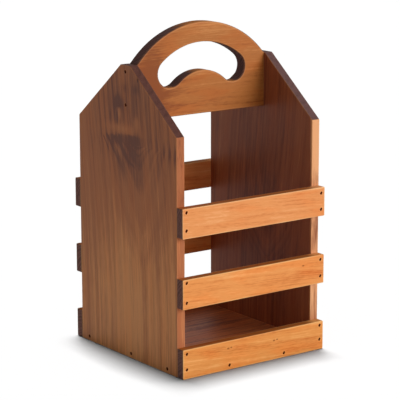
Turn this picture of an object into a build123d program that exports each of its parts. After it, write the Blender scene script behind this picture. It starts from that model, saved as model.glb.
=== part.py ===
from build123d import *
import os
from math import cos, hypot, radians, sin, sqrt

# A slatted wooden carrier with a handle board.
#
# Two gabled end panels stand at the left and right. Three slats run across the front and three across
# the rear, nailed to the edges of the panels. A floor board lies between the panels, and a handle board
# with an arched top and a hand hole spans them at the middle. Every joint is a plain butt joint, held by
# brads whose heads are set a little below the surface.
#
# Millimetres. X runs along the slats, Y from the front to the rear, Z up. The origin is at the middle of
# the base, on the surface that the carrier stands on.

# End panels
outer_width = 178.0
panel_depth = 172.0
panel_thickness = 9.5
shoulder_height = 239.0
gable_rise = 60.5
peak_flat = 16.5
panel_ease = 0.5

# Slats
slat_thickness = 9.7
slat_width = 30.0
slat_pitch = 70.5
slat_ease = 0.5
slat_rows = ("lower", "middle", "upper")

# Floor
floor_thickness = 9.5

# Handle board
handle_thickness = 13.5
handle_skirt = 56.0
arch_rise = 37.4
handle_ease = 1.2

# Hand hole: a crown arc, two round lobes and a low hump between them
grip_height = 20.3
lobe_spacing = 78.5
lobe_radius = 14.8
lobe_drop = 11.7
hump_rise = 14.8

# Brads, cut from flat wire. The long side of each head leans from the upright, as a nail gun was held: the
# leans are in degrees, clockwise as seen from outside.
nail_length = 25.0
nail_point = 3.0
wire_width = 1.2
wire_height = 1.5
head_width = 1.6
head_height = 2.3
head_thickness = 1.0
set_depth = 0.9
slat_nail_lean = 32.0
panel_nail_lean = -35.0

# Where the brads sit, as shares of what they pass through. They were driven by hand and wander a little.
slat_nail_shares = {
    "lower": ((0.32, 0.85), (0.36, 0.86)),
    "middle": ((0.22, 0.89), (0.26, 0.84)),
    "upper": ((0.27, 0.87), (0.24, 0.80)),
}
handle_nail_shares = (0.29, 0.88)
panel_floor_nail_shares = (-0.80, -0.06, 0.84)
slat_floor_nail_shares = (-0.36, 0.42)

# Overrun of every cutting tool past the face that it opens
overrun = 1.0

# Places that follow from the sizes above
panel_outer = outer_width / 2
panel_inner = panel_outer - panel_thickness
panel_front = panel_depth / 2
slat_front = panel_front + slat_thickness
peak_height = shoulder_height + gable_rise
handle_top = peak_height + arch_rise
handle_bottom = peak_height - handle_skirt


def seated(origin, out, lean):
    """The plane of a brad: its origin is on the board's face, and its normal points out of the wood."""
    level, drop = cos(radians(lean)), -sin(radians(lean))
    return Plane(origin=origin, x_dir=(-out[1] * level, out[0] * level, drop), z_dir=out)


def brad():
    """One brad pointing down from the board's face, with a chisel point and its head set below the face."""
    half = wire_width / 2
    outline = Polyline(
        (-half, -set_depth),
        (half, -set_depth),
        (half, nail_point - nail_length),
        (0, -nail_length),
        (-half, nail_point - nail_length),
        close=True,
    )
    shank = extrude(Plane.XZ * make_face(outline), wire_height / 2, both=True)
    head = Box(head_width, head_height, head_thickness, align=(Align.CENTER, Align.CENTER, Align.MAX))
    return shank + Pos(0, 0, -set_depth) * head


def brad_hole():
    """What one brad takes out of the wood: its own shape, and the open recess above its head."""
    size = (head_width, head_height, set_depth + overrun)
    recess = Box(*size, align=(Align.CENTER, Align.CENTER, Align.MAX))
    return brad() + Pos(0, 0, overrun) * recess


def placed(shape, planes):
    """Copies of one shape, one on each plane."""
    return [plane * shape for plane in planes]


def slat_bottom(row):
    """Height of the lower edge of a row of slats."""
    return slat_rows.index(row) * slat_pitch


def slat_nail_planes(row, side):
    """Four brads per slat, two into the edge of each end panel. Side is -1 at the front, 1 at the rear."""
    left, right = slat_nail_shares[row]
    middle_of_edge = panel_outer - panel_thickness / 2
    planes = []
    for x, shares in ((side * middle_of_edge, left), (-side * middle_of_edge, right)):
        for share in shares:
            z = slat_bottom(row) + share * slat_width
            planes.append(seated((x, side * slat_front, z), (0, side, 0), slat_nail_lean))
    return planes


def handle_nail_planes(side):
    """Two brads through an end panel into the end of the handle board. Side is -1 at the left."""
    heights = [handle_bottom + share * handle_skirt for share in handle_nail_shares]
    return [seated((side * panel_outer, 0, z), (side, 0, 0), panel_nail_lean) for z in heights]


def panel_floor_nail_planes(side):
    """Three brads through the foot of an end panel into the floor board. Side is -1 at the left."""
    depths = [-side * share * panel_front for share in panel_floor_nail_shares]
    height = floor_thickness / 2
    return [seated((side * panel_outer, y, height), (side, 0, 0), panel_nail_lean) for y in depths]


def slat_floor_nail_planes(side):
    """Two brads through a lower slat into the edge of the floor board. Side is -1 at the front."""
    places = [-side * share * panel_outer for share in slat_floor_nail_shares]
    height = floor_thickness / 2
    return [seated((x, side * slat_front, height), (0, side, 0), slat_nail_lean) for x in places]


def end_panel(side):
    """A gabled board with its grain upright and all its edges eased. Side is -1 at the left."""
    outline = Polyline(
        (-panel_front, 0),
        (panel_front, 0),
        (panel_front, shoulder_height),
        (peak_flat / 2, peak_height),
        (-peak_flat / 2, peak_height),
        (-panel_front, shoulder_height),
        close=True,
    )
    board = extrude(Plane.YZ * make_face(outline), panel_thickness)
    board = chamfer(board.edges(), panel_ease)
    return Pos(min(side * panel_outer, side * panel_inner), 0, 0) * board


def slat(row, side):
    """A slat as long as the carrier is wide, flush with the outer faces of the end panels."""
    board = chamfer(Box(outer_width, slat_thickness, slat_width).edges(), slat_ease)
    middle = side * (panel_front + slat_thickness / 2)
    return Pos(0, middle, slat_bottom(row) + slat_width / 2) * board


def floor_board():
    """The board at the foot. It fills the space between the panels and the lower slats."""
    size = (2 * panel_inner, panel_depth, floor_thickness)
    return Box(*size, align=(Align.CENTER, Align.CENTER, Align.MIN))


def hand_hole():
    """The outline of the hand hole, all in tangent arcs: crown, right lobe, hump, left lobe."""
    crown_top = handle_top - grip_height
    lobe_x = lobe_spacing / 2
    lobe_z = peak_height - lobe_drop
    hump_top = lobe_z - lobe_radius + hump_rise

    # The crown passes through its top and holds both lobes, tangent inside it.
    reach = crown_top - lobe_radius
    crown_z = (reach**2 - lobe_x**2 - lobe_z**2) / (2 * (reach - lobe_z))
    crown_share = (crown_top - crown_z) / hypot(lobe_x, lobe_z - crown_z)
    crown_end = (lobe_x * crown_share, crown_z + (lobe_z - crown_z) * crown_share)

    # The hump passes through its top and touches both lobes from below.
    lift = lobe_z - hump_top
    hump_radius = (lobe_x**2 + lift**2 - lobe_radius**2) / (2 * (lobe_radius - lift))
    hump_share = hump_radius / (hump_radius + lobe_radius)
    hump_z = hump_top - hump_radius
    hump_end = (lobe_x * hump_share, hump_z + (lobe_z - hump_z) * hump_share)

    lobe_low = (lobe_x + lobe_radius / sqrt(2), lobe_z - lobe_radius / sqrt(2))

    def mirrored(point):
        return (-point[0], point[1])

    outline = [
        ThreePointArc(mirrored(crown_end), (0, crown_top), crown_end),
        ThreePointArc(crown_end, lobe_low, hump_end),
        ThreePointArc(hump_end, (0, hump_top), mirrored(hump_end)),
        ThreePointArc(mirrored(hump_end), mirrored(lobe_low), mirrored(crown_end)),
    ]
    return make_face(outline)


def handle_board():
    """The board that the carrier is lifted by: square at its foot, arched above, with the hand hole."""
    outline = [
        Polyline(
            (-panel_inner, peak_height),
            (-panel_inner, handle_bottom),
            (panel_inner, handle_bottom),
            (panel_inner, peak_height),
        ),
        ThreePointArc((panel_inner, peak_height), (0, handle_top), (-panel_inner, peak_height)),
    ]
    face = make_face(outline) - hand_hole()
    board = extrude(Plane.XZ * face, handle_thickness / 2, both=True)
    rims = board.faces().filter_by(Axis.Y).edges()
    eased = [edge for edge in rims if abs(edge.center().X) < panel_inner - handle_ease]
    return fillet(eased, handle_ease)


def write(name, shapes):
    """One file per named piece. Several loose solids, such as a group of brads, go in as one compound."""
    solids = [solid for shape in shapes for solid in shape.solids()]
    export_step(Compound(children=solids, label=name), f"parts/{name}.step")


def build():
    sides = {"left": -1, "right": 1}
    faces = {"front": -1, "rear": 1}
    boards = {"floor_board": floor_board(), "handle_board": handle_board()}
    nails = {}
    for name, side in sides.items():
        boards[f"end_panel_{name}"] = end_panel(side)
        nails[f"handle_nails_{name}"] = handle_nail_planes(side)
        nails[f"panel_floor_nails_{name}"] = panel_floor_nail_planes(side)
    for name, side in faces.items():
        nails[f"slat_floor_nails_{name}"] = slat_floor_nail_planes(side)
        for row in slat_rows:
            boards[f"{name}_slat_{row}"] = slat(row, side)
            nails[f"{name}_slat_{row}_nails"] = slat_nail_planes(row, side)

    holes = placed(brad_hole(), [plane for planes in nails.values() for plane in planes])
    for name, board in boards.items():
        box = board.bounding_box()
        near = [hole for hole in holes if box.overlaps(hole.bounding_box())]
        write(name, [board - near])
    for name, planes in nails.items():
        write(name, placed(brad(), planes))


os.makedirs("parts", exist_ok=True)
build()
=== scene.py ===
import math

import bmesh
import bpy
import numpy as np
from mathutils import Matrix, Vector, geometry, noise


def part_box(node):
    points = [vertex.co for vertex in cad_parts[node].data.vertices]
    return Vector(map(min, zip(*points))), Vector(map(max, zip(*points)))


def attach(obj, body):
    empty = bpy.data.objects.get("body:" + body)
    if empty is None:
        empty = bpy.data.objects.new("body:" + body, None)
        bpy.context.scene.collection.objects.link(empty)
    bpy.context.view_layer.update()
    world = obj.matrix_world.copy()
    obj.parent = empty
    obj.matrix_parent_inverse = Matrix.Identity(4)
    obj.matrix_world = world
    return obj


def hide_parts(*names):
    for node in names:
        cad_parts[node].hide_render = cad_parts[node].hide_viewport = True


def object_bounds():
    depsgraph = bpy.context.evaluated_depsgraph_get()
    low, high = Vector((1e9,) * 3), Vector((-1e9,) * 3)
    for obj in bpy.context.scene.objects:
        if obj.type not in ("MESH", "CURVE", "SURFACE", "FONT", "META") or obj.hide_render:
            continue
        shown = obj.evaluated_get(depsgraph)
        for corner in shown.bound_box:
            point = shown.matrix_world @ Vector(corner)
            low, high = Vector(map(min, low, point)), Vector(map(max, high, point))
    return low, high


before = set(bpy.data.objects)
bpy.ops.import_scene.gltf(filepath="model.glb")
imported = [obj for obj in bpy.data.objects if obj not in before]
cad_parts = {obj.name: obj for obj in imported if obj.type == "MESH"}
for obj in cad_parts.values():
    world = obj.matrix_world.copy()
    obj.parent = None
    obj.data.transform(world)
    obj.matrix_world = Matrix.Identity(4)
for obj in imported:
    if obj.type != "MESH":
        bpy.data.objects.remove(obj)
cad_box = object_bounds()

# Without a seed, noise_vector takes its offsets from the clock, and no two runs are the same
noise.seed_set(1)

mm = 0.001
FULL_TURN = 2 * math.pi

# Sizes that the frame gives
PANEL_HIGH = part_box("end_panel_left")[1]
HANDLE_LOW, HANDLE_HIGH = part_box("handle_board")
FLOOR_LOW, FLOOR_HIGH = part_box("floor_board")
PANEL_FRONT = PANEL_HIGH.y
PEAK = PANEL_HIGH.z

# Sizes that a box does not give, as in the CAD source
SHOULDER = 239.0 * mm
PEAK_FLAT = 16.5 * mm
GRIP_HEIGHT = 20.3 * mm
LOBE_SPACING = 78.5 * mm
LOBE_RADIUS = 14.8 * mm
LOBE_DROP = 11.7 * mm
HUMP_RISE = 14.8 * mm

# How the boards are worked: corners and arrises turned by sanding, faces never quite flat
CORNER = 1.1 * mm
PANEL_EASE = 0.55 * mm
SLAT_EASE = 0.6 * mm
HANDLE_EASE = 1.3 * mm
BUTTED_EASE = 0.3 * mm
EASE_WANDER_SHARE = 0.3
EASE_WANDER_LENGTH = 22 * mm
SWELL = 0.06 * mm
SWELL_LENGTH = 38 * mm
CHATTER = 0.015 * mm
CHATTER_LENGTH = 7 * mm

# The pit over each set brad
PIT_DEPTH = 1.05 * mm
SLAT_PIT = Vector((2.3, 3.0)) * mm
PANEL_PIT = Vector((2.9, 3.1)) * mm
PIT_FLARE_SHARE = 1.08
PIT_POINTS = 14
PIT_ROUNDNESS = 0.6
PIT_RAGGED_SHARE = 0.09
PIT_RAGGED_SCALE = 731.7
SLAT_NAIL_LEAN = math.radians(32)
PANEL_NAIL_LEAN = math.radians(-35)
HEAD_REACH = 4 * mm

# How finely the meshes are cut
STEP = 4.0 * mm
ARC_STEP = 1.8 * mm
GRID = 6.0 * mm
ROUND_STEPS = 4
INNER_RINGS = (0.7 * mm, 2.0 * mm)
PIT_RINGS = (0.6 * mm, 1.6 * mm)
FADE = 1.0 * mm
SAME_POINT = 0.002 * mm
SHARP = math.radians(50)

rows = ("lower", "middle", "upper")
faces = {"front": -1, "rear": 1}
ends = {"left": -1, "right": 1}


# Outlines, which run with the wood on their left

def divided(points):
    """The closed loop through these points, with more points wherever a run is longer than STEP."""
    loop = []
    for here, there in zip(points, points[1:] + points[:1]):
        count = max(1, math.ceil((there - here).length / STEP))
        loop += [here.lerp(there, k / count) for k in range(count)]
    return loop


def arc(centre, radius, start, sweep, steps=None):
    """Points along an arc, its two ends included."""
    steps = steps or max(2, math.ceil(abs(sweep) * radius / ARC_STEP))
    angles = [start + sweep * k / steps for k in range(steps + 1)]
    return [centre + Vector((math.cos(a), math.sin(a))) * radius for a in angles]


def angle_of(vector):
    return math.atan2(vector.y, vector.x)


def turned(corners, radius):
    """A closed outline with its corners turned to this radius."""
    loop = []
    for before, corner, after in zip(corners[-1:] + corners[:-1], corners, corners[1:] + corners[:1]):
        back = (before - corner).normalized()
        on = (after - corner).normalized()
        half = back.angle(on) / 2
        centre = corner + (back + on).normalized() * (radius / math.sin(half))
        first = corner + back * (radius / math.tan(half)) - centre
        last = corner + on * (radius / math.tan(half)) - centre
        sweep = math.remainder(angle_of(last) - angle_of(first), FULL_TURN)
        loop += arc(centre, radius, angle_of(first), sweep, ROUND_STEPS)
    return loop


def board_outline(corners):
    return divided(turned([Vector(c) for c in corners], CORNER))


def shrunk(loop, insets):
    """The loop moved into the wood, by one size for each of its points."""
    moved = []
    for before, here, after, inset in zip(loop[-1:] + loop[:-1], loop, loop[1:] + loop[:1], insets):
        along = (after - before).normalized()
        moved.append(here - Vector((along.y, -along.x)) * inset)
    return moved


def distances(points, loop):
    """How far each point is from a loop, measured to its runs."""
    p = np.array([tuple(v) for v in points])[:, None, :]
    a = np.array([tuple(v) for v in loop])[None, :, :]
    run = np.roll(a, -1, axis=1) - a
    share = np.clip(((p - a) * run).sum(2) / (run * run).sum(2), 0, 1)
    return np.linalg.norm(p - a - share[:, :, None] * run, axis=2).min(1)


def enclosed(points, loop):
    """Whether each point is inside a closed loop."""
    p = np.array([tuple(v) for v in points])
    a = np.array([tuple(v) for v in loop])
    b = np.roll(a, -1, axis=0)
    x, y = p[:, :1], p[:, 1:]
    spans = (a[:, 1] > y) != (b[:, 1] > y)
    rise = np.where(a[:, 1] == b[:, 1], 1, b[:, 1] - a[:, 1])
    crossing = a[:, 0] + (b[:, 0] - a[:, 0]) * (y - a[:, 1]) / rise
    return (spans & (x < crossing)).sum(1) % 2 == 1


def face_triangles(outer, holes, extra):
    """Points and triangles that fill an outline around its holes, through the extra points as well."""
    low = Vector((min(p.x for p in outer), min(p.y for p in outer)))
    high = Vector((max(p.x for p in outer), max(p.y for p in outer)))
    rise = GRID * math.sin(math.pi / 3)
    grid = [
        Vector((low.x + (i + (j % 2) / 2) * GRID, low.y + j * rise))
        for j in range(math.ceil((high.y - low.y) / rise) + 1)
        for i in range(math.ceil((high.x - low.x) / GRID) + 1)
    ]
    clear = enclosed(grid, outer) & (distances(grid, outer) > GRID / 2)
    for hole in holes:
        clear &= ~enclosed(grid, hole) & (distances(grid, hole) > GRID / 2)
    points = [p for loop in [outer, *holes] for p in loop]
    edges = []
    start = 0
    for loop in [outer, *holes]:
        edges += [(start + k, start + (k + 1) % len(loop)) for k in range(len(loop))]
        start += len(loop)
    points += extra + [p for p, keep in zip(grid, clear) if keep]
    found, _, triangles, *_ = geometry.delaunay_2d_cdt(points, edges, [], 0, SAME_POINT / 10)
    middles = [(found[a] + found[b] + found[c]) / 3 for a, b, c in triangles]
    kept = enclosed(middles, outer)
    for hole in holes:
        kept &= ~enclosed(middles, hole)
    return found, [t for t, keep in zip(triangles, kept) if keep]


# Brads and the pits over them

def head_places(node, axis):
    """The middles of the heads of a group of brads, as points on the plane that faces along axis."""
    points = [v.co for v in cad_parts[node].data.vertices]
    outermost = max(abs(p[axis]) for p in points)
    heads = []
    for p in points:
        if abs(p[axis]) < outermost - SAME_POINT:
            continue
        near = [head for head in heads if (head[0] - p).length < HEAD_REACH]
        if near:
            near[0].append(p)
        else:
            heads.append([p])
    return [(Vector(map(min, zip(*head))) + Vector(map(max, zip(*head)))) / 2 for head in heads]


def pit_loop(centre, size, lean, scale):
    """The torn mouth of a pit: a leaning rounded rectangle with a wandering edge."""
    loop = []
    turn = Matrix.Rotation(-lean, 2)
    for k in range(PIT_POINTS):
        a = FULL_TURN * k / PIT_POINTS
        wander = noise.noise(Vector((centre.x, centre.y, k)) * PIT_RAGGED_SCALE)
        x = math.copysign(abs(math.cos(a)) ** PIT_ROUNDNESS, math.cos(a)) * size.x / 2
        y = math.copysign(abs(math.sin(a)) ** PIT_ROUNDNESS, math.sin(a)) * size.y / 2
        ragged = scale * (1 + PIT_RAGGED_SHARE * wander)
        loop.append(centre + turn @ Vector((x, y)) * ragged)
    return loop


def grown(loop, centre, by):
    return [p + (p - centre).normalized() * by for p in loop]


# Boards

def eased(loop, ease, butted, seed):
    """The size of the turned arris at each point of a loop. It wanders, and is small where a board butts."""
    sizes = []
    for p in loop:
        wander = noise.noise(Vector((p.x, p.y, seed)) / EASE_WANDER_LENGTH)
        sizes.append(BUTTED_EASE if butted(p) else ease * (1 + EASE_WANDER_SHARE * wander))
    return sizes


def rim_rings(loop, sizes, half):
    """Rings round the rim of a board, from its front face to its rear one, as points with a height."""
    rings = []
    turn = [FULL_TURN / 4 * k / ROUND_STEPS for k in range(ROUND_STEPS + 1)]
    for angle in turn:
        points = shrunk(loop, [size * (1 - math.sin(angle)) for size in sizes])
        rings.append([(p, half - size * (1 - math.cos(angle))) for p, size in zip(points, sizes)])
    low = [(p, -w) for p, w in rings[-1]]
    straight = [1 - FADE / half, 0, FADE / half - 1]
    middle = [[(p, w * share) for p, w in rings[-1]] for share in straight]
    rear = [[(p, -w) for p, w in ring] for ring in rings[-2::-1]]
    return rings + middle + [low] + rear


def worked(point, seed):
    """How far planing and sanding left a point from where it should be."""
    shift = Vector((seed, 2 * seed, 3 * seed))
    swell = noise.noise_vector(point / SWELL_LENGTH + shift) * SWELL
    return swell + noise.noise_vector(point / CHATTER_LENGTH + shift) * CHATTER


def board(node, material, outer, thickness, place, ease, seed, hole=None, pits=(), pit_size=None,
          lean=0.0, butted=None):
    """A board with turned arrises, slightly uneven faces and a torn pit over each brad in its front face."""
    butted = butted or (lambda p: False)
    half = thickness / 2
    mesh = bmesh.new()
    arris = mesh.verts.layers.float.new("arris")
    pit = mesh.verts.layers.float.new("pit")
    loops = [outer] + ([hole] if hole else [])
    sizes = [eased(loop, ease, butted, seed) for loop in loops]
    flats = [shrunk(loop, size) for loop, size in zip(loops, sizes)]
    mouths = [pit_loop(centre, pit_size, lean, PIT_FLARE_SHARE) for centre in pits]

    def corner(p, w, arris_share, pit_share=0.0):
        vertex = mesh.verts.new(place(p.x, p.y, w))
        vertex[arris] = arris_share
        vertex[pit] = pit_share
        return vertex

    def skin(rings):
        for one, other in zip(rings, rings[1:]):
            for k in range(len(one)):
                after = (k + 1) % len(one)
                mesh.faces.new((one[k], one[after], other[after], other[k]))

    for loop, size in zip(loops, sizes):
        rings = rim_rings(loop, size, half)
        reach = half - max(size)
        rings = [[corner(p, w, math.exp(-max(0, reach - abs(w)) / FADE)) for p, w in ring] for ring in rings]
        skin(rings)

    inner = [p for flat in flats for d in INNER_RINGS for p in shrunk(flat, [d] * len(flat))]
    around = [p for mouth, centre in zip(mouths, pits) for d in PIT_RINGS for p in grown(mouth, centre, d)]
    for w, holes, extra in ((half, mouths, inner + around), (-half, [], inner)):
        points, triangles = face_triangles(flats[0], flats[1:] + holes, extra)
        near = np.exp(-np.min([distances(points, flat) for flat in flats], axis=0) / FADE)
        bruised = np.zeros(len(points))
        for mouth in holes:
            bruised = np.maximum(bruised, np.exp(-distances(points, mouth) / FADE))
        corners = [corner(p, w, float(n), float(t)) for p, n, t in zip(points, near, bruised)]
        for triangle in triangles:
            mesh.faces.new([corners[k] for k in triangle])

    for mouth, centre in zip(mouths, pits):
        foot = pit_loop(centre, pit_size, lean, 1)
        levels = ((mouth, half), (foot, half - PIT_DEPTH / 3), (foot, half - PIT_DEPTH))
        rings = [[corner(p, w, 0.0, 1.0) for p in loop] for loop, w in levels]
        before = len(mesh.faces)
        skin(rings)
        mesh.faces.new(rings[-1])
        mesh.faces.ensure_lookup_table()
        for face in mesh.faces[before:]:
            face.material_index = 1

    bmesh.ops.remove_doubles(mesh, verts=mesh.verts, dist=SAME_POINT)
    bmesh.ops.dissolve_degenerate(mesh, edges=mesh.edges, dist=SAME_POINT)
    bmesh.ops.delete(mesh, geom=[vertex for vertex in mesh.verts if not vertex.link_faces], context="VERTS")
    bmesh.ops.recalc_face_normals(mesh, faces=mesh.faces)
    for vertex in mesh.verts:
        vertex.co += worked(vertex.co, seed)
        vertex.co.z = max(vertex.co.z, cad_box[0].z)
    for face in mesh.faces:
        face.smooth = True
    data = bpy.data.meshes.new(node)
    mesh.to_mesh(data)
    mesh.free()
    data.set_sharp_from_angle(angle=SHARP)
    piece = bpy.data.objects.new(f"{node}_dressed", data)
    bpy.context.scene.collection.objects.link(piece)
    weighted = piece.modifiers.new("flat_faces", "WEIGHTED_NORMAL")
    weighted.keep_sharp = True
    data.materials.append(material)
    data.materials.append(torn_wood)
    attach(piece, "root")
    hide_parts(node)
    return piece


def hand_hole():
    """The outline of the hand hole, with the wood on its left: crown, left lobe, hump, right lobe."""
    crown_top = HANDLE_HIGH.z - GRIP_HEIGHT
    lobe = Vector((LOBE_SPACING / 2, PEAK - LOBE_DROP))
    hump_top = lobe.y - LOBE_RADIUS + HUMP_RISE
    reach = crown_top - LOBE_RADIUS
    crown = Vector((0, (reach**2 - lobe.length_squared) / (2 * (reach - lobe.y))))
    lift = lobe.y - hump_top
    hump_radius = (lobe.x**2 + lift**2 - LOBE_RADIUS**2) / (2 * (LOBE_RADIUS - lift))
    hump = Vector((0, hump_top - hump_radius))
    to_crown = angle_of(lobe - crown)
    to_hump = angle_of(hump - lobe)
    right = arc(lobe, LOBE_RADIUS, to_crown, to_hump - to_crown)
    half_hump = FULL_TURN / 4 - angle_of(lobe - hump)
    low = arc(hump, hump_radius, angle_of(lobe - hump), 2 * half_hump)
    left = [Vector((-p.x, p.y)) for p in reversed(right)]
    crown_radius = crown_top - crown.y
    high = arc(crown, crown_radius, FULL_TURN / 2 - to_crown, 2 * to_crown - FULL_TURN / 2)
    return right[:-1] + low[:-1] + left[:-1] + high[:-1]


def handle_outline():
    """The handle board: a square foot as high as the gables, and a circular arc over it."""
    half = HANDLE_HIGH.x
    rise = HANDLE_HIGH.z - PEAK
    radius = (half**2 + rise**2) / (2 * rise)
    centre = Vector((0, HANDLE_HIGH.z - radius))
    start = angle_of(Vector((half, PEAK)) - centre)
    top = arc(centre, radius, start, FULL_TURN / 2 - 2 * start)
    foot = [Vector((-half, HANDLE_LOW.z)), Vector((half, HANDLE_LOW.z))]
    return divided(top + foot)


def panel_corners():
    return [
        (-PANEL_FRONT, 0),
        (PANEL_FRONT, 0),
        (PANEL_FRONT, SHOULDER),
        (PEAK_FLAT / 2, PEAK),
        (-PEAK_FLAT / 2, PEAK),
        (-PANEL_FRONT, SHOULDER),
    ]


# Materials

class Nodes:
    """A short way to write the nodes of a material or of the world."""

    def __init__(self, owner):
        owner.use_nodes = True
        self.tree = owner.node_tree
        self.tree.nodes.clear()

    def add(self, kind, values=None, **settings):
        node = self.tree.nodes.new(f"ShaderNode{kind}")
        for name, value in settings.items():
            setattr(node, name, value)
        for key, value in (values or {}).items():
            if isinstance(value, bpy.types.NodeSocket):
                self.tree.links.new(value, node.inputs[key])
            else:
                node.inputs[key].default_value = value
        return node

    def math(self, operation, *values):
        return self.add("Math", dict(enumerate(values)), operation=operation).outputs[0]

    def clamp(self, value):
        return self.add("Clamp", {0: value}).outputs[0]

    def vector_math(self, operation, *values):
        return self.add("VectorMath", dict(enumerate(values)), operation=operation).outputs[0]

    def vector(self, *values):
        return self.add("CombineXYZ", dict(enumerate(values))).outputs[0]

    def parts(self, vector):
        return self.add("SeparateXYZ", {0: vector}).outputs

    def noise(self, place, detail=2.0, roughness=0.5):
        values = {"Vector": place, "Scale": 1.0, "Detail": detail, "Roughness": roughness}
        return self.add("TexNoise", values).outputs[0]

    def blend(self, value, low, high, to_low=0.0, to_high=1.0):
        """Smoothly from one size to another as the value goes from low to high."""
        values = {0: value, 1: low, 2: high, 3: to_low, 4: to_high}
        return self.add("MapRange", values, interpolation_type="SMOOTHSTEP").outputs[0]

    def mix(self, share, one, other, way="MIX"):
        values = {0: share, 6: one, 7: other}
        return self.add("Mix", values, data_type="RGBA", blend_type=way).outputs[2]

    def bump(self, height, relief, strength):
        return self.add("Bump", {"Strength": strength, "Distance": relief, "Height": height}).outputs[0]

    def surface(self, shade, rough, normal, mirror, metallic=0.0):
        """Ends a material. Mirror is how strongly it shines, where 0.5 is usual."""
        shader = self.add("BsdfPrincipled", {
            "Base Color": shade,
            "Metallic": metallic,
            "Roughness": rough,
            "Normal": normal,
            "Specular IOR Level": mirror,
        })
        self.add("OutputMaterial", {0: shader.outputs[0]})


def colour(red, green, blue):
    return (red, green, blue, 1.0)


def scaled_colour(shade, factor, lift=0.0):
    return colour(*(min(1.0, part * factor + lift) for part in shade[:3]))


# Noise that follows the grain: how long and how wide it is, in millimetres, and where it starts

WIDE_WANDER = (150.0, 42.0, 0.0)
NARROW_WANDER = (38.0, 11.0, 5.1)
LATE_WOOD_BREAKS = (60.0, 16.0, 9.0)
STREAKS = (210.0, 4.2, 2.0)
FIBRES = (24.0, 1.15, 3.0)
CLOUDS = (60.0, 30.0, 4.0)
FLECKS = (6.5, 1.25, 6.0)
PORES = (7.0, 0.8, 7.0)
WARM_SPOTS = (48.0, 12.0, 8.0)
END_GRAIN_LINES = (40.0, 1.1, 1.0)

# How far the grain wanders to each side, and how wide and long the bands are, in millimetres
WIDE_REACH = 4.5
NARROW_REACH = 0.8
BAND_WIDTH = 8.5
BAND_LENGTH = 240.0

# Rings: how much their width drifts, over how many of them, and the share of a ring that is early wood
RING_DRIFT = 3.4
RING_DRIFT_OVER = 3.1
EARLY_WOOD_START = 0.25
EARLY_WOOD_END = 0.86

# Knots are longer than they are wide, and bend the rings round them
KNOT_STRETCH = 1.7
KNOT_PULL = 2.2
KNOT_FALL = (1.6, -0.35)
KNOT_SOLID = 0.35
KNOT_TONE = (0.45, 0.30, 0.08)
KNOT_SHARE = 0.85

# How much each pattern shifts the tone, and the tones at which the dark, middle and light colours stand
STREAK_SHARE = 0.66
CLOUD_SHARE = 0.42
FIBRE_SHARE = 0.50
FLECK_SHARE = 0.40
PORE_SHARE = 0.18
DARK_AT, MIDDLE_AT, LIGHT_AT = -0.1, 0.5, 1.15

# Where the noise makes a pore or a warmer spot, and how squarely a sawn edge faces across the board
PORE_CORE, PORE_RIM = 0.05, 0.24
WARM_FROM, WARM_FULL = 0.42, 0.66
SAWN_FROM, SAWN_FULL = 0.6, 0.92

# End grain: its dark and light lines against its tone, and how strongly the rings show in it
END_DARK, END_LIGHT = 0.6, 1.32
END_RING_DEPTH = 1.9
END_LINES_FULL = 0.7

# Arrises made lighter, partly by wear and partly as a painted highlight: how strongly they are lightened and
# how pale that is, and the share that end grain loses of it
RUB_AND_HIGHLIGHT_FROM = 0.45
RUB_AND_HIGHLIGHT_LEAST, RUB_AND_HIGHLIGHT_MOST = 0.35, 0.85
PALE_SHARE, PALE_FACTOR, PALE_LIFT = 0.55, 1.25, 0.06
END_RUB_AND_HIGHLIGHT_LOSS = 0.6

# How far the wood round a pit is bruised paler
BRUISE_SHARE = 0.22

# Sheen and relief
SMOOTH = 0.34
FIBRE_ROUGHNESS, PORE_ROUGHNESS, SAWN_ROUGHNESS = 0.22, 0.1, 0.35
FIBRE_RELIEF, RING_RELIEF, PORE_RELIEF = 0.5, 0.35, 0.55
WOOD_RELIEF = 0.12 * mm
WOOD_MIRROR = 0.15

# How far apart the noise of one seed and of the next lies
SEED_STEP = (7.31, 3.77, 1.93)
RING_SEED_STEP = 1.7
BAND_SEED_STEP = 2.3


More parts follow.
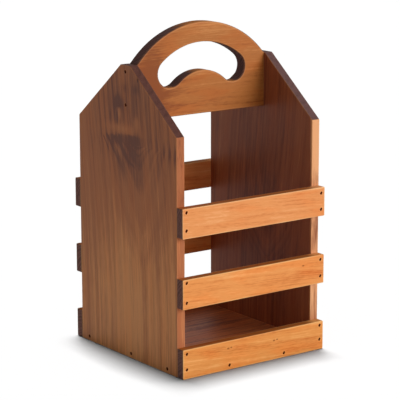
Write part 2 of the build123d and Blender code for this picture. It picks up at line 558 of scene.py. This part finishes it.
class Grain:
    """The grain of one board as nodes. Everything that is drawn from its place leans and wanders with it."""

    def __init__(self, nodes, along, out, centre, seed, figure, slope, lean, stretch):
        depth, swell, reach, spread, bend = figure
        self.nodes = nodes
        self.along = along
        self.across = 3 - along - out
        self.seed = seed
        self.stretch = stretch
        texture = nodes.add("TexCoord").outputs
        self.facing = nodes.parts(texture["Normal"])
        self.metres = nodes.parts(texture["Object"])
        axes = (along, self.across, out)
        a, b, t = (nodes.math("MULTIPLY_ADD", self.metres[k], 1000.0, -float(centre[k])) for k in axes)

        leaned = nodes.math("MULTIPLY", nodes.math("TANH", nodes.math("DIVIDE", a, reach)), lean * reach)
        b = nodes.math("SUBTRACT", b, leaned)
        b = nodes.math("MULTIPLY_ADD", a, -slope, b)
        self.place = nodes.vector(a, b, t)
        wide = nodes.math("MULTIPLY_ADD", self.noise(WIDE_WANDER, 1.0), 2 * WIDE_REACH, -WIDE_REACH)
        narrow = nodes.math("MULTIPLY_ADD", self.noise(NARROW_WANDER), 2 * NARROW_REACH, -NARROW_REACH)
        b = nodes.math("ADD", nodes.math("ADD", b, wide), narrow)
        self.place = nodes.vector(a, b, t)
        self.length, self.depth, self.wander = a, t, narrow

        # How far into the tree each point is, by its rings
        beside = nodes.math("POWER", b, 2.0)
        behind = nodes.math("POWER", nodes.math("ADD", t, depth), 2.0)
        radius = nodes.math("SQRT", nodes.math("ADD", beside, behind))
        beside = nodes.math("EXPONENT", nodes.math("MULTIPLY", beside, -1 / spread**2))
        before = nodes.math("POWER", nodes.clamp(nodes.math("DIVIDE", a, -reach)), bend)
        self.radius = nodes.math("MULTIPLY_ADD", nodes.math("MULTIPLY", before, swell), beside, radius)

    def scaled(self, length, width, shift):
        sizes = (1 / (length * self.stretch), 1 / width, 1 / width)
        one, other, third = (self.seed * step for step in SEED_STEP)
        offset = (one + shift, other - shift, third)
        return self.nodes.vector_math("MULTIPLY_ADD", self.place, sizes, offset)

    def noise(self, pattern, detail=2.0, roughness=0.5):
        return self.nodes.noise(self.scaled(*pattern), detail, roughness)

    def bent_round(self, knots):
        """Bends the rings round knots, and gives the share of each point that is the core of one."""
        nodes = self.nodes
        core = 0.0
        for knot_along, knot_across, size in knots:
            here = nodes.vector(self.metres[self.along], self.metres[self.across], 0.0)
            offset = nodes.vector_math("SUBTRACT", here, (knot_along * mm, knot_across * mm, 0.0))
            offset = nodes.vector_math("MULTIPLY", offset, (1000 / KNOT_STRETCH, 1000.0, 0.0))
            away = nodes.add("VectorMath", {0: offset}, operation="LENGTH").outputs["Value"]
            away = nodes.math("DIVIDE", away, size)
            power, fall = KNOT_FALL
            pull = nodes.math("EXPONENT", nodes.math("MULTIPLY", nodes.math("POWER", away, power), fall))
            self.radius = nodes.math("MULTIPLY_ADD", pull, size * KNOT_PULL, self.radius)
            core = nodes.math("MAXIMUM", core, nodes.blend(away, KNOT_SOLID, 1.0, 1.0, 0.0))
        return core

    def late_wood(self, ring):
        """Rings: early wood, then a narrow dark line of late wood, stronger here and weaker there."""
        nodes = self.nodes
        slowly = nodes.math("DIVIDE", self.radius, RING_DRIFT_OVER * ring)
        drift = nodes.noise(nodes.vector(slowly, self.seed * RING_SEED_STEP, 0.0), 1.0)
        drift = nodes.math("MULTIPLY", drift, RING_DRIFT)
        count = nodes.math("ADD", nodes.math("DIVIDE", self.radius, ring), drift)
        phase = nodes.math("FRACT", count)
        late = nodes.math("MULTIPLY", nodes.blend(phase, EARLY_WOOD_START, EARLY_WOOD_END),
                          nodes.blend(phase, EARLY_WOOD_END, 1.0, 1.0, 0.0))
        return nodes.math("MULTIPLY", late, self.noise(LATE_WOOD_BREAKS, 1.0))

    def bands(self):
        """Bands of darker and lighter wood that follow the rings."""
        nodes = self.nodes
        out = nodes.math("DIVIDE", self.radius, BAND_WIDTH)
        along = nodes.math("DIVIDE", self.length, BAND_LENGTH * self.stretch)
        return nodes.noise(nodes.vector(out, along, self.seed * BAND_SEED_STEP), 3.0, 0.6)

    def patched(self, tone, patches, patch_depth):
        """The tone with patches that are darker or lighter, near the face only."""
        nodes = self.nodes
        skin = nodes.math("POWER", nodes.math("DIVIDE", self.depth, patch_depth), 2.0)
        for patch_along, patch_across, beyond, short, aside, strength, *slant in patches:
            one = nodes.math("MULTIPLY_ADD", self.metres[self.along], 1000.0, -patch_along)
            size = nodes.math("MULTIPLY_ADD", nodes.math("GREATER_THAN", one, 0.0), beyond - short, short)
            other = nodes.math("MULTIPLY_ADD", self.metres[self.across], 1000.0, -patch_across)
            other = nodes.math("MULTIPLY_ADD", one, -sum(slant), other)
            other = nodes.math("DIVIDE", nodes.math("ADD", other, self.wander), aside)
            away = nodes.math("ADD", nodes.math("POWER", nodes.math("DIVIDE", one, size), 2.0),
                              nodes.math("POWER", other, 2.0))
            share = nodes.math("EXPONENT", nodes.math("MULTIPLY", nodes.math("ADD", away, skin), -1.0))
            tone = nodes.math("MULTIPLY_ADD", share, strength, tone)
        return tone


def wood(name, along, out, centre, seed, tones, end_tone, figure, ring=4.6, ring_depth=0.42, slope=0.0,
         lean=0.0, knots=(), patches=(), patch_depth=100.0, contrast=1.0, banding=0.55, fineness=1.0,
         stretch=1.0, warming=(1.03, 0.91, 0.80), sawn=(1.0, 1.0, 1.0), lit_stretches=(), runout=(0.45, 0.80),
         rub_and_highlight=1.0):
    """One board's wood. All are cut from one make of solid wood: rings about a heart behind the face.

    Sizes are in millimetres. Along and out are the axes of the grain and of the face.

    centre: a point of the face.
    tones: the dark, middle and light colours of long grain.
    figure: (depth, swell, reach, spread, bend). The heart lies at that depth behind the centre. The rings
        grow by swell over the reach before it, near the middle only, which makes nested arrowheads. A small
        bend makes them grow at once.
    slope, lean: how the grain slants, everywhere and near the centre.
    knots: (along, across, size).
    patches: (along, across, reach beyond, reach short, reach across, tone, slant), which fade over
        patch_depth behind the face. Slant is how far one moves across for each step along, and may be left
        out.
    banding, fineness: how much the broad bands and the finest grain show.
    stretch: how much longer than usual the markings are.
    warming, sawn: what the warmer spots and the sawn edges are multiplied by. On the slats the darker sawn
        colour is painted shade on their top and bottom edges.
    lit_stretches: stretches of the sawn edges where that painted shade is lifted, as light reaches them
        there: (start, where complete, share).
    runout: how far a surface cuts across the grain where end grain begins and where it is complete.
    rub_and_highlight: how much lighter the arrises are, partly from wear and partly as a painted highlight.
    """
    material = bpy.data.materials.new(name)
    nodes = Nodes(material)
    grain = Grain(nodes, along, out, centre, seed, figure, slope, lean, stretch)
    core = grain.bent_round(knots)
    late = grain.late_wood(ring)

    length, width, shift = STREAKS
    streaks = grain.noise((length, width / math.sqrt(fineness), shift), 3.0, 0.5 + 0.12 * fineness)
    fibres = grain.noise(FIBRES, 3.0, 0.7)
    cloud = grain.noise(CLOUDS)
    values = {"Vector": grain.scaled(*PORES), "Scale": 1.0, "Randomness": 1.0}
    pores = nodes.blend(nodes.add("TexVoronoi", values).outputs["Distance"], PORE_CORE, PORE_RIM, 1.0, 0.0)
    patterns = (
        (banding, grain.bands()),
        (STREAK_SHARE, streaks),
        (CLOUD_SHARE, cloud),
        (FIBRE_SHARE * fineness, fibres),
        (FLECK_SHARE * fineness, grain.noise(FLECKS)),
    )
    tone = MIDDLE_AT
    for share, pattern in patterns:
        change = nodes.math("MULTIPLY_ADD", pattern, share * contrast * 2, -share * contrast)
        tone = nodes.math("ADD", tone, change)
    tone = nodes.math("MULTIPLY_ADD", late, -ring_depth * contrast, tone)
    tone = grain.patched(tone, patches, patch_depth)
    tone = nodes.math("MULTIPLY_ADD", pores, -PORE_SHARE * contrast * fineness, tone)

    dark, middle, light = tones
    shade = nodes.mix(nodes.blend(tone, DARK_AT, MIDDLE_AT), dark, middle)
    shade = nodes.mix(nodes.blend(tone, MIDDLE_AT, LIGHT_AT), shade, light)
    warmer = nodes.mix(1.0, shade, colour(*warming), "MULTIPLY")
    shade = nodes.mix(nodes.blend(grain.noise(WARM_SPOTS), WARM_FROM, WARM_FULL), shade, warmer)
    knot = colour(*(part * factor for part, factor in zip(dark, KNOT_TONE)))
    shade = nodes.mix(nodes.math("MULTIPLY", core, KNOT_SHARE), shade, knot)

    # Sawn edges take a colour of their own, and end grain, which drinks the most stain, is darkest, where
    # the rings stand out. On the slats the darker sawn colour is painted shade on their top and bottom
    # edges, which is lifted where light reaches them.
    edged = nodes.blend(nodes.math("ABSOLUTE", grain.facing[grain.across]), SAWN_FROM, SAWN_FULL)
    sawn_tint_and_shade = edged
    for start, complete, share in lit_stretches:
        lit_share = nodes.blend(nodes.math("MULTIPLY", grain.metres[along], 1000.0), start, complete, 0.0, share)
        sawn_tint_and_shade = nodes.math("MULTIPLY", sawn_tint_and_shade, nodes.math("SUBTRACT", 1.0, lit_share))
    shade = nodes.mix(sawn_tint_and_shade, shade, nodes.mix(1.0, shade, colour(*sawn), "MULTIPLY"))
    ended = nodes.blend(nodes.math("ABSOLUTE", grain.facing[along]), *runout)
    lines = nodes.math("MULTIPLY_ADD", late, -END_RING_DEPTH / ring, grain.noise(END_GRAIN_LINES))
    lines = nodes.blend(lines, 0.0, END_LINES_FULL)
    end_shade = nodes.mix(lines, scaled_colour(end_tone, END_DARK), scaled_colour(end_tone, END_LIGHT))
    shade = nodes.mix(ended, shade, end_shade)

    # Arrises are lighter, unevenly, partly from wear and partly as a painted highlight, and the wood round
    # the pits is bruised paler
    arris = nodes.add("Attribute", attribute_name="arris").outputs["Fac"]
    rubbed_and_highlit = nodes.math("MULTIPLY", nodes.blend(arris, RUB_AND_HIGHLIGHT_FROM, 1.0),
                        nodes.blend(cloud, 0.3, 0.6, RUB_AND_HIGHLIGHT_LEAST * rub_and_highlight, RUB_AND_HIGHLIGHT_MOST * rub_and_highlight))
    rubbed_and_highlit = nodes.math("MULTIPLY", rubbed_and_highlit, nodes.math("MULTIPLY_ADD", ended, -END_RUB_AND_HIGHLIGHT_LOSS, 1.0))
    pale = nodes.mix(PALE_SHARE, shade, scaled_colour(light, PALE_FACTOR, PALE_LIFT))
    shade = nodes.mix(rubbed_and_highlit, shade, pale)
    bruise = nodes.add("Attribute", attribute_name="pit").outputs["Fac"]
    shade = nodes.mix(nodes.blend(bruise, 0.1, 1.0, 0.0, BRUISE_SHARE), shade, light)

    rough = nodes.math("MULTIPLY_ADD", fibres, FIBRE_ROUGHNESS, SMOOTH)
    rough = nodes.math("MULTIPLY_ADD", pores, PORE_ROUGHNESS, rough)
    rough = nodes.math("MULTIPLY_ADD", nodes.math("MAXIMUM", ended, edged), SAWN_ROUGHNESS, rough)
    height = nodes.math("MULTIPLY_ADD", fibres, FIBRE_RELIEF, nodes.math("MULTIPLY", late, RING_RELIEF))
    height = nodes.math("MULTIPLY_ADD", pores, -PORE_RELIEF, height)
    nodes.surface(shade, rough, nodes.bump(height, WOOD_RELIEF, 0.5), WOOD_MIRROR)
    return material


# Brads and pits: how many markings there are to a metre, the darker and the lighter tone, and the relief
BLOTCHES = (900.0, 900.0, 900.0)
SCRATCHES = (5200.0, 5200.0, 900.0)
TORN_FIBRES = (1800.0, 1800.0, 1800.0)
STEEL_TONES = (colour(0.070, 0.007, 0.001), colour(0.13, 0.014, 0.002))
SCRATCH_TONE = colour(0.12, 0.036, 0.014)
TORN_TONES = (colour(0.070, 0.009, 0.001), colour(0.17, 0.028, 0.004))
STEEL_RELIEF = 0.05 * mm
TORN_RELIEF = 0.2 * mm
STEEL_METALLIC = 0.04
DULL_MIRROR = 0.02


def brad_metal():
    """Dark steel wire: brown with stain and from the heat of drawing, with a few brighter scratches."""
    material = bpy.data.materials.new("dark_steel")
    nodes = Nodes(material)
    place = nodes.add("TexCoord").outputs["Object"]
    blotch = nodes.noise(nodes.vector_math("MULTIPLY", place, BLOTCHES), 3.0)
    scratch = nodes.noise(nodes.vector_math("MULTIPLY", place, SCRATCHES))
    shade = nodes.mix(nodes.blend(blotch, 0.35, 0.65), *STEEL_TONES)
    shade = nodes.mix(nodes.blend(scratch, 0.6, 0.75), shade, SCRATCH_TONE)
    rough = nodes.blend(blotch, 0.3, 0.7, 0.75, 0.9)
    nodes.surface(shade, rough, nodes.bump(scratch, STEEL_RELIEF, 0.4), DULL_MIRROR, STEEL_METALLIC)
    return material


def torn_fibres():
    """Crushed fibres in the walls of a pit, dark with stain."""
    material = bpy.data.materials.new("torn_wood")
    nodes = Nodes(material)
    place = nodes.add("TexCoord").outputs["Object"]
    fibre = nodes.noise(nodes.vector_math("MULTIPLY", place, TORN_FIBRES), 3.0, 0.7)
    shade = nodes.mix(nodes.blend(fibre, 0.3, 0.7), *TORN_TONES)
    rough = nodes.blend(fibre, 0.3, 0.7, 0.65, 0.9)
    nodes.surface(shade, rough, nodes.bump(fibre, TORN_RELIEF, 0.8), DULL_MIRROR)
    return material


torn_wood = torn_fibres()
dark_steel = brad_metal()
X, Y, Z = 0, 1, 2

LEFT_TONES = (colour(0.165, 0.047, 0.023), colour(0.46, 0.150, 0.053), colour(0.78, 0.316, 0.112))
# The right panel's middle colour is darker than the left panel's as painted shade of the carrier's inside,
# and its light colour is brighter for the painted highlight on its front edge.
RIGHT_TONES = (colour(0.16, 0.047, 0.024), colour(0.33, 0.108, 0.045), colour(0.87, 0.42, 0.175))
SLAT_TONES = {
    "lower": (colour(0.655, 0.188, 0.034), colour(0.82, 0.315, 0.075), colour(0.94, 0.45, 0.146)),
    "middle": (colour(0.69, 0.198, 0.041), colour(0.865, 0.335, 0.092), colour(0.97, 0.485, 0.182)),
    "upper": (colour(0.68, 0.197, 0.048), colour(0.855, 0.335, 0.109), colour(0.97, 0.475, 0.205)),
}
HANDLE_TONES = (colour(0.27, 0.074, 0.016), colour(0.46, 0.160, 0.037), colour(0.63, 0.270, 0.085))
LEFT_END_TONE = colour(0.103, 0.041, 0.032)
# The right panel's end grain is lighter and pinker than the left's: partly the board's own colour, partly a
# painted highlight on its gable slopes.
RIGHT_END_TONE = colour(0.140, 0.073, 0.069)
SLAT_END_TONE = colour(0.200, 0.088, 0.070)
HANDLE_END_TONE = colour(0.106, 0.044, 0.037)

# Boards, each with its own wood. What the numbers of a patch are is told under wood.

LEFT_PATCHES = (
    (250.0, 0.0, 60.0, 80.0, 80.0, -0.28),
    (224.5, 27.0, 1.6, 16.0, 14.0, -0.10, 0.6),
    (222.5, 40.0, 1.5, 13.0, 1.2, -0.42, 0.75),
    (224.5, 32.5, 1.6, 17.0, 1.9, -0.68, 0.8),
    (225.5, 21.5, 1.6, 8.0, 6.0, -0.42, 0.3),
    (229.0, -8.0, 1.8, 9.0, 17.0, -0.30, 0.1),
    (215.0, -13.5, 14.0, 14.0, 14.5, -0.30, 0.32),
    (227.5, 11.8, 1.6, 13.0, 1.7, -0.46, 0.33),
    (212.0, 3.5, 7.0, 8.0, 1.9, -0.42, 0.85),
    (202.5, -7.0, 3.5, 3.5, 2.5, -0.36, 1.8),
    (188.0, -21.0, 14.0, 18.0, 10.0, -0.22),
    (235.0, 8.0, 5.0, 5.5, 24.0, 0.44),
    (243.5, -18.5, 6.0, 7.0, 5.0, 0.38),
    (259.5, 13.5, 7.5, 8.0, 7.0, -0.85),
    (253.5, 13.0, 5.5, 9.0, 4.0, 0.92),
    (247.5, 15.2, 6.5, 7.5, 1.5, -1.00),
    (277.0, 1.5, 5.0, 5.0, 5.0, -0.22),
    (277.0, -17.6, 5.0, 5.0, 5.0, -0.28),
    (214.0, 15.0, 8.0, 10.0, 2.6, 0.34, 0.75),
    (202.0, 0.0, 16.0, 20.0, 16.0, -0.20),
    (222.0, -58.0, 20.0, 26.0, 20.0, -0.10),
    (222.0, -66.0, 8.0, 9.0, 2.0, -0.32),
    (221.5, -75.0, 8.0, 9.0, 2.2, -0.34),
    (221.0, -83.5, 8.0, 10.0, 3.0, -0.36),
    (60.0, -20.0, 100.0, 120.0, 150.0, 0.49),
    (40.0, -86.0, 110.0, 60.0, 2.2, -0.52),
)
RIGHT_PATCHES = (
    # The two lighter patches on the front edge are partly lighter wood and partly a painted highlight.
    (225.0, -86.0, 60.0, 58.0, 2.2, 0.95),
    (85.0, -86.0, 75.0, 75.0, 2.2, 0.46),
    # A darkening over the whole board: painted shade of the carrier's inside.
    (150.0, 5.0, 200.0, 200.0, 65.0, -0.32),
)

PANEL_WOODS = {
    "left": {
        "centre": (-89.0, -19.0, 222.0),
        "seed": 3.0,
        "tones": LEFT_TONES,
        "end_tone": LEFT_END_TONE,
        "figure": (7.0, 49.0, 120.0, 46.0, 0.5),
        "ring_depth": 0.28,
        "lean": 0.12,
        "knots": ((286.6, -21.5, 1.8),),
        "patches": LEFT_PATCHES,
        "patch_depth": 5.0,
    },
    "right": {
        "centre": (89.0, -21.0, 190.0),
        "seed": 11.0,
        "tones": RIGHT_TONES,
        "end_tone": RIGHT_END_TONE,
        "figure": (16.0, 40.0, 110.0, 45.0, 1.3),
        "ring_depth": 0.22,
        "lean": -0.1,
        "patches": RIGHT_PATCHES,
    },
}

for name, side in ends.items():
    low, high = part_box(f"end_panel_{name}")
    thickness = high.x - low.x
    middle = (low.x + high.x) / 2
    nails = head_places(f"handle_nails_{name}", X) + head_places(f"panel_floor_nails_{name}", X)
    material = wood(
        f"panel_wood_{name}", Z, X, ring=7.0, contrast=0.70, banding=0.42, fineness=0.85, stretch=2.5,
        warming=(1.02, 0.96, 0.90), sawn=(1.0, 1.06, 1.25), rub_and_highlight=0.35, **PANEL_WOODS[name],
    )
    board(
        f"end_panel_{name}", material, board_outline(panel_corners()), thickness,
        place=lambda u, v, w, middle=middle, side=side: Vector((middle + side * w, u, v)),
        ease=PANEL_EASE, seed=10 + side,
        pits=[Vector((p.y, p.z)) for p in nails], pit_size=PANEL_PIT, lean=side * PANEL_NAIL_LEAN,
    )

SLAT_KNOTS = {
    "front_slat_lower": ((-33.6, 22.2, 1.25), (-29.9, 22.6, 1.0), (24.4, 20.1, 1.2), (28.3, 20.6, 0.95)),
    "front_slat_middle": ((61.6, 92.4, 1.1),),
}
for name, side in faces.items():
    for number, row in enumerate(rows):
        node = f"{name}_slat_{row}"
        low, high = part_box(node)
        thickness = high.y - low.y
        middle = (low.y + high.y) / 2
        nails = head_places(f"{node}_nails", Y)
        if row == "lower":
            nails += head_places(f"slat_floor_nails_{name}", Y)
        material = wood(
            f"slat_wood_{name}_{row}", X, Y,
            centre=(20.0 * number - 15, side * 95.5, low.z / mm - 22 + 9 * number),
            seed=20.0 + number + 5 * side,
            tones=SLAT_TONES[row], end_tone=SLAT_END_TONE,
            figure=(14.0 + 5 * number, 6.0, 120.0, 60.0, 1.3),
            ring=2.7, ring_depth=0.40,
            # The slats' dark sawn colour is painted shade on their top and bottom edges, lifted near their
            # ends, where they are lit.
            slope=-0.075, contrast=0.9, sawn=(0.53, 0.40, 0.27), rub_and_highlight=1.0,
            lit_stretches=((70.0, 81.0, 0.95), (-77.0, -88.0, 0.25)),
            # The lighter patch at the top of each slat's right end is a painted highlight.
            knots=SLAT_KNOTS.get(node, ()), patches=((85.0, high.z / mm, 8.0, 13.0, 1.8, 0.6),),
        )
        corners = [(low.x, low.z), (high.x, low.z), (high.x, high.z), (low.x, high.z)]
        board(
            node, material, board_outline(corners), thickness,
            place=lambda u, v, w, middle=middle, side=side: Vector((u, middle + side * w, v)),
            ease=SLAT_EASE, seed=30 + 3 * number + side,
            pits=[Vector((p.x, p.z)) for p in nails], pit_size=SLAT_PIT, lean=-side * SLAT_NAIL_LEAN,
        )

handle_wood = wood(
    "handle_wood", X, Y,
    centre=(12.0, -7.0, 262.0), seed=41.0,
    tones=HANDLE_TONES, end_tone=HANDLE_END_TONE,
    figure=(22.0, 8.0, 110.0, 60.0, 1.3), contrast=0.7,
    ring=2.4, ring_depth=0.40, runout=(0.10, 0.36), rub_and_highlight=0.5,
    # The two darker patches at the handle's left end are painted shade: a broad darkening of that end, and a
    # darker band on the limb beside the hand hole, next to the left panel.
    patches=((-70.0, 290.0, 42.0, 38.0, 60.0, -0.36), (-57.0, 277.0, 9.0, 14.0, 22.0, -0.62),
             (10.0, 325.0, 60.0, 60.0, 26.0, 0.28)),
)
board(
    "handle_board", handle_wood, handle_outline(), HANDLE_HIGH.y - HANDLE_LOW.y,
    place=lambda u, v, w: Vector((u, -w, v)),
    ease=HANDLE_EASE, seed=51, hole=divided(hand_hole()),
    butted=lambda p: abs(p.x) > HANDLE_HIGH.x - mm,
)

floor_wood = wood(
    "floor_wood", X, Z,
    centre=(-20.0, 15.0, 9.5), seed=61.0,
    tones=LEFT_TONES, end_tone=LEFT_END_TONE,
    figure=(18.0, 20.0, 130.0, 60.0, 1.3), contrast=0.9,
)
corners = [(FLOOR_LOW.x, FLOOR_LOW.y), (FLOOR_HIGH.x, FLOOR_LOW.y), (FLOOR_HIGH.x, FLOOR_HIGH.y),
           (FLOOR_LOW.x, FLOOR_HIGH.y)]
board(
    "floor_board", floor_wood, board_outline(corners), FLOOR_HIGH.z - FLOOR_LOW.z,
    place=lambda u, v, w: Vector((u, v, (FLOOR_LOW.z + FLOOR_HIGH.z) / 2 + w)),
    ease=0.4 * mm, seed=71,
)

for name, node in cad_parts.items():
    if "nails" in name:
        for slot in node.material_slots:
            slot.material = dark_steel

# Light: a soft key from the front right, and a plain even surround that is darker overhead

KEY_FROM = Vector((0.50, -0.85, 0.14)).normalized()
KEY = (0.86, 0.80, 0.77)
SURROUND = (0.43, 0.465, 0.455)
OVERHEAD_SHARE = 0.35
OVERHEAD_AT = 0.9
KEY_SPREAD = 50
FLOOR_LAMP = 6.0
FLOOR_LAMP_HEIGHT = 1000.0
FLOOR_LAMP_REACH = ((-0.5, 8.2), (-1.6, 12.8))
FLOOR_BOUNCE = 0.34
FLOOR_READS = 1.06
FLOOR_SIZE = 60


def sun(name, comes_from, level, spread):
    """A soft lamp as far off as the sun. Level is what it adds to a white face square to it."""
    lamp = bpy.data.lights.new(name, "SUN")
    lamp.angle = math.radians(spread)
    lamp.color = tuple(c / max(level) for c in level)
    lamp.energy = math.pi * max(level)
    holder = bpy.data.objects.new(name, lamp)
    holder.rotation_euler = comes_from.to_track_quat("Z", "Y").to_euler()
    bpy.context.scene.collection.objects.link(holder)
    return holder


def panel_lamp(name, level, height, reach):
    """A lamp over the floor, which spans these angles in degrees from the upright along X and along Y."""
    (x_low, x_high), (y_low, y_high) = ([height * math.tan(math.radians(a)) for a in pair] for pair in reach)
    lamp = bpy.data.lights.new(name, "AREA")
    lamp.shape = "RECTANGLE"
    lamp.size = x_high - x_low
    lamp.size_y = y_high - y_low
    lamp.energy = math.pi**2 * height**2 * level
    holder = bpy.data.objects.new(name, lamp)
    holder.location = ((x_low + x_high) / 2, (y_low + y_high) / 2, height)
    bpy.context.scene.collection.objects.link(holder)
    return holder


def shown(nodes):
    """One for rays from the camera, a mirror or glass, and nought for the light that surfaces pass on."""
    ray = nodes.add("LightPath").outputs
    return nodes.math("MAXIMUM", nodes.math("MAXIMUM", ray["Is Camera Ray"], ray["Is Glossy Ray"]),
                      ray["Is Transmission Ray"])


world = bpy.data.worlds.new("studio")
bpy.context.scene.world = world
nodes = Nodes(world)
height = nodes.parts(nodes.add("TexCoord").outputs["Generated"])[Z]
share = nodes.blend(height, 0.0, OVERHEAD_AT, 1.0, OVERHEAD_SHARE)
sky = nodes.add("VectorMath", {0: SURROUND, "Scale": share}, operation="SCALE").outputs[0]
sky = nodes.mix(shown(nodes), sky, colour(1.0, 1.0, 1.0))
background = nodes.add("Background", {"Color": sky, "Strength": 1.0})
nodes.add("OutputWorld", {0: background.outputs[0]})

# Floor: pale paper under a lamp of its own, which throws the close shadow that the photograph shows

bpy.ops.mesh.primitive_plane_add(size=FLOOR_SIZE)
stage_floor = bpy.context.object
stage_floor.name = "studio_floor"
paper = bpy.data.materials.new("studio_paper")
nodes = Nodes(paper)
from_surround = sum(SURROUND) / 3 * (1 + OVERHEAD_SHARE) / 2
reading = nodes.add("BsdfDiffuse", {"Color": colour(*(FLOOR_READS / (FLOOR_LAMP + from_surround),) * 3)})
passing = nodes.add("BsdfDiffuse", {"Color": colour(*(FLOOR_BOUNCE / FLOOR_LAMP,) * 3)})
shader = nodes.add("MixShader", {0: shown(nodes), 1: passing.outputs[0], 2: reading.outputs[0]})
nodes.add("OutputMaterial", {0: shader.outputs[0]})
stage_floor.data.materials.append(paper)

key = sun("soft_key", KEY_FROM, tuple(c / -KEY_FROM.y for c in KEY), KEY_SPREAD)
floor_lamp = panel_lamp("floor_lamp", FLOOR_LAMP, FLOOR_LAMP_HEIGHT, FLOOR_LAMP_REACH)
for lamp, state in ((key, "EXCLUDE"), (floor_lamp, "INCLUDE")):
    receivers = bpy.data.collections.new(f"{lamp.name}_receivers")
    receivers.objects.link(stage_floor)
    receivers.collection_objects[0].light_linking.link_state = state
    lamp.light_linking.receiver_collection = receivers

# Camera, solved from the corners seen in the photograph

AZIMUTH, ELEVATION, ROLL = (math.radians(a) for a in (-36.25, 12.325, -0.09))
DISTANCE = 1868.2 * mm
AIM_ASIDE = 1.60 * mm
AIM_HEIGHT = 152.0 * mm
SENSOR = 36
IMAGE = 400
FOCAL_PIXELS = 1813.5
level = Vector((math.sin(AZIMUTH), -math.cos(AZIMUTH), 0))
back = level * math.cos(ELEVATION) + Vector((0, 0, math.sin(ELEVATION)))
right = Vector((0, 0, 1)).cross(back).normalized()
up = back.cross(right)
target = right * AIM_ASIDE + Vector((0, 0, AIM_HEIGHT))
across = right * math.cos(ROLL) + up * math.sin(ROLL)
upright = up * math.cos(ROLL) - right * math.sin(ROLL)
lens = bpy.data.cameras.new("camera")
lens.sensor_width = SENSOR
lens.lens = SENSOR * FOCAL_PIXELS / IMAGE
camera = bpy.data.objects.new("camera", lens)
placing = Matrix((across, upright, back)).transposed().to_4x4()
placing.translation = target + back * DISTANCE
camera.matrix_world = placing
bpy.context.scene.collection.objects.link(camera)
bpy.context.scene.camera = camera
bpy.context.scene.view_settings.view_transform = "Standard"
